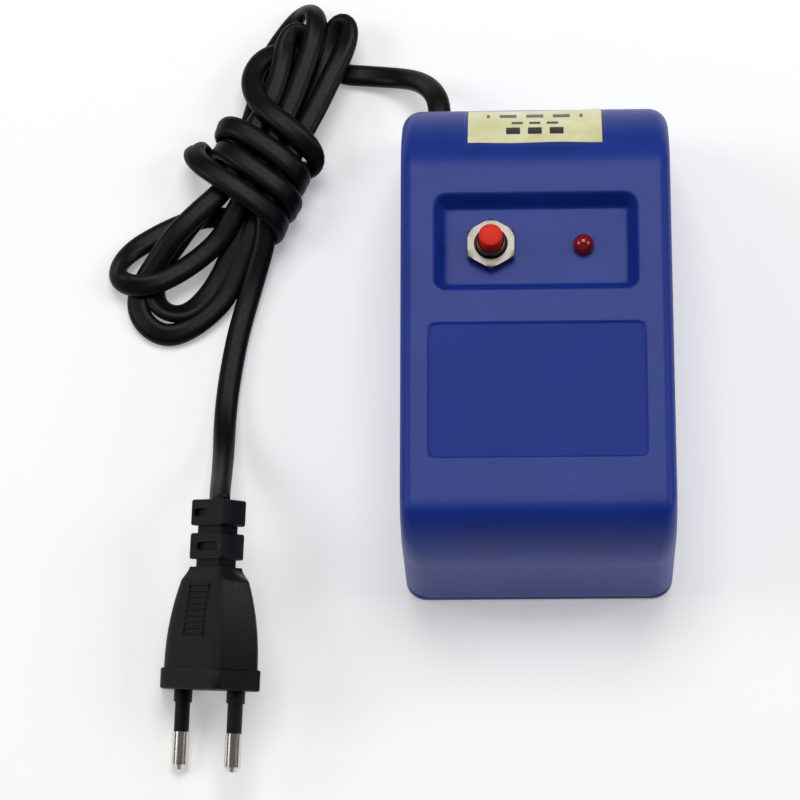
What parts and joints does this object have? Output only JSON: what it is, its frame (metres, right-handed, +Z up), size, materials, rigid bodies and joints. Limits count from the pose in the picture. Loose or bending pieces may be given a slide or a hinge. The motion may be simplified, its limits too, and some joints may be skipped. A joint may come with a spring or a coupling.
{
  "type": "demagnetizer",
  "caption": "Bench demagnetizer for watches: moulded box with a sprung push button, an indicator lamp, a coil on an E core inside, and a tied mains lead with a two-pin plug.",
  "frame": {"origin": "centre of the box's footprint, on the surface that its feet stand on; the lead and its plug are not counted", "axes": "+Z up, +Y to the rear where the lead leaves the box, +X to the right seen from the front"},
  "size_m": [0.1385, 0.1978, 0.0495],
  "materials": {
    "shell_abs": "moulded, glossy",
    "base_abs": "moulded, glossy",
    "feet_rubber": "matte",
    "zinc_steel": "zinc plated",
    "label_paper": "matte",
    "switch_chrome": "bright nickel",
    "phenolic": "moulded",
    "contact_brass": "bright",
    "cap_red": "moulded, glossy",
    "spring_steel": "drawn wire",
    "lamp_epoxy": "clear red",
    "tinned_wire": "tinned",
    "board_fibreglass": "coated",
    "resistor_ceramic": "lacquered",
    "diode_epoxy": "moulded",
    "core_steel": "blued sheet",
    "bobbin_nylon": "moulded",
    "winding_copper": "enamelled",
    "coil_tape": "film",
    "block_nylon": "moulded",
    "grommet_rubber": "moulded",
    "wire_pvc": "extruded",
    "lead_pvc": "extruded, satin",
    "plug_pvc": "moulded, fine matte",
    "insert_nylon": "moulded",
    "pin_nickel": "nickel plated"
  },
  "bodies": {
    "root": {"housing_shell": "shell_abs", "base_plate": "base_abs", "rubber_feet": "feet_rubber", "base_screws": "zinc_steel", "label": "label_paper", "switch_bushing": "switch_chrome", "switch_nut": "switch_chrome", "switch_washer": "zinc_steel", "switch_case": "phenolic", "switch_terminals": "contact_brass", "switch_spring": "spring_steel", "led_lamp": "lamp_epoxy", "led_leads": "tinned_wire", "led_board": "board_fibreglass", "led_resistor": "resistor_ceramic", "led_diode": "diode_epoxy", "board_screws": "zinc_steel", "core_laminations": "core_steel", "core_brackets": "zinc_steel", "core_bolts": "zinc_steel", "core_nuts": "zinc_steel", "bracket_screws": "zinc_steel", "coil_bobbin": "bobbin_nylon", "coil_winding": "winding_copper", "coil_tape": "coil_tape", "coil_tags": "contact_brass", "terminal_block": "block_nylon", "terminal_barrels": "contact_brass", "terminal_screws": "contact_brass", "block_screw": "zinc_steel", "cord_grommet": "grommet_rubber", "cord_clamp": "phenolic", "clamp_screws": "zinc_steel", "cord_inner": "lead_pvc", "mains_wires": "wire_pvc", "switch_wires": "wire_pvc", "coil_wires": "wire_pvc", "led_wires": "wire_pvc", "cord_lead": "lead_pvc", "cord_hank": "lead_pvc", "cord_tail": "lead_pvc", "plug_body": "plug_pvc", "plug_insert": "insert_nylon", "plug_pins": "pin_nickel", "pin_sleeves": "plug_pvc"},
    "button": {"button_cap": "cap_red", "contact_disc": "contact_brass"}
  },
  "joints": [
    {"name": "button_press", "type": "slide", "parent": "root", "child": "button", "axis": [0, 0, -1], "range_m": [0, 0.0015], "stiffness_N_per_m": 800, "springref_m": -0.001, "deforming": ["switch_spring"]}
  ]
}
